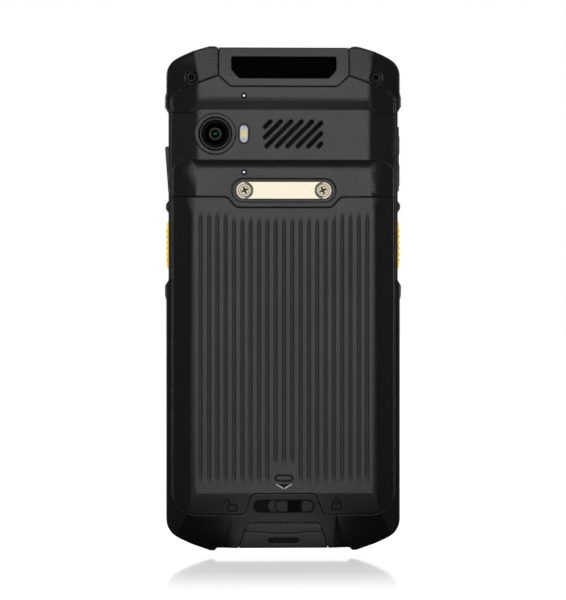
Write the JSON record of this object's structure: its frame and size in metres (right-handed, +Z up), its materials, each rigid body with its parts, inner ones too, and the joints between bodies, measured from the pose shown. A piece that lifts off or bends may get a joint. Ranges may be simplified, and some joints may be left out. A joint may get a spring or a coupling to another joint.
{
  "type": "portable barcode data terminal",
  "caption": "Rugged handheld data terminal: ribbed hinged battery cover with sliding lock, camera, speaker, strap plate, scan head, side keys and port covers.",
  "frame": {"origin": "on the surface that the terminal stands on, below the middle of its box", "axes": "+Z up the long side, -Y out of the back with the battery cover, +Y out of the display, +X to the right when looking at the back"},
  "size_m": [0.079, 0.017, 0.168],
  "materials": {
    "casing": "fine grained black polycarbonate",
    "guard": "dark impact plastic with a soft grain",
    "rail": "satin dark grey plastic",
    "gloss_black": "polished black plastic",
    "soft_black": "black silicone rubber",
    "lens_glass": "coated lens glass",
    "window_red": "dark red scan window",
    "yellow_key": "moulded yellow plastic",
    "bright_nickel": "nickel-plated steel, finely brushed",
    "steel": "stamped steel",
    "dark_steel": "blackened steel",
    "gold": "gold-plated contact metal",
    "brass": "knurled brass",
    "battery_wrap": "matt wrapped pack",
    "board_green": "solder mask",
    "flash_white": "frosted clear plastic",
    "panel_black": "dark display glass"
  },
  "bodies": {
    "terminal": {"rear_housing": "casing", "front_housing": "casing", "lower_guard": "guard", "top_left_guard": "guard", "top_right_guard": "guard", "left_rail": "rail", "right_rail": "rail", "scan_head_cap": "casing", "nameplate": "gloss_black", "scan_window": "window_red", "scan_engine": "steel", "guard_screws": "dark_steel", "battery_pack": "battery_wrap", "battery_contacts": "gold", "bay_seal": "soft_black", "usb_socket": "steel", "usb_tongue": "gloss_black", "cradle_contacts": "gold", "key_bezel": "gloss_black", "side_key_switches": "steel", "headset_socket": "gloss_black", "camera_ring": "gloss_black", "camera_glass": "lens_glass", "camera_module": "dark_steel", "flash_lens": "flash_white", "flash_led": "flash_white", "speaker_mesh": "dark_steel", "speaker_module": "gloss_black", "microphones": "steel", "strap_plate": "bright_nickel", "strap_screws": "bright_nickel", "strap_inserts": "brass", "housing_screws": "steel", "display_glass": "panel_black", "display_panel": "panel_black", "receiver_mesh": "dark_steel", "receiver": "dark_steel", "front_camera": "lens_glass", "main_board": "board_green", "shield_cans": "steel", "vibration_motor": "steel", "sim_socket": "steel"},
    "cover": {"battery_cover": "casing"},
    "latch": {"latch_slider": "gloss_black"},
    "bottom_flap": {"bottom_port_flap": "casing"},
    "left_scan_key": {"scan_key_left": "yellow_key"},
    "right_scan_key": {"scan_key_right": "yellow_key"},
    "power": {"power_key": "gloss_black"},
    "volume": {"volume_rocker": "gloss_black"},
    "side_cover": {"side_port_cover": "soft_black"}
  },
  "joints": [
    {"name": "cover_hinge", "type": "hinge", "parent": "terminal", "child": "cover", "pos_m": [0, -0.0085, 0.11795], "axis": [-1, 0, 0], "range_deg": [0, 70]},
    {"name": "latch_slide", "type": "slide", "parent": "terminal", "child": "latch", "axis": [-1, 0, 0], "range_m": [0, 0.007]},
    {"name": "bottom_flap_hinge", "type": "hinge", "parent": "terminal", "child": "bottom_flap", "pos_m": [0, -0.00672, 0.0094], "axis": [-1, 0, 0], "range_deg": [0, 75]},
    {"name": "left_scan_press", "type": "slide", "parent": "terminal", "child": "left_scan_key", "axis": [1, 0, 0], "range_m": [0, 0.0005], "stiffness_N_per_m": 400, "springref_m": -0.0005},
    {"name": "right_scan_press", "type": "slide", "parent": "terminal", "child": "right_scan_key", "axis": [-1, 0, 0], "range_m": [0, 0.0005], "stiffness_N_per_m": 400, "springref_m": -0.0005},
    {"name": "power_press", "type": "slide", "parent": "terminal", "child": "power", "axis": [-1, 0, 0], "range_m": [0, 0.0004], "stiffness_N_per_m": 400, "springref_m": -0.0005},
    {"name": "volume_rock", "type": "hinge", "parent": "terminal", "child": "volume", "pos_m": [0.0362, -0.0002, 0.1253], "axis": [0, 1, 0], "range_deg": [-4, 4], "stiffness_Nm_per_rad": 0.01},
    {"name": "side_cover_hinge", "type": "hinge", "parent": "terminal", "child": "side_cover", "pos_m": [-0.03775, -0.0002, 0.11995], "axis": [0, -1, 0], "range_deg": [0, 80]}
  ]
}
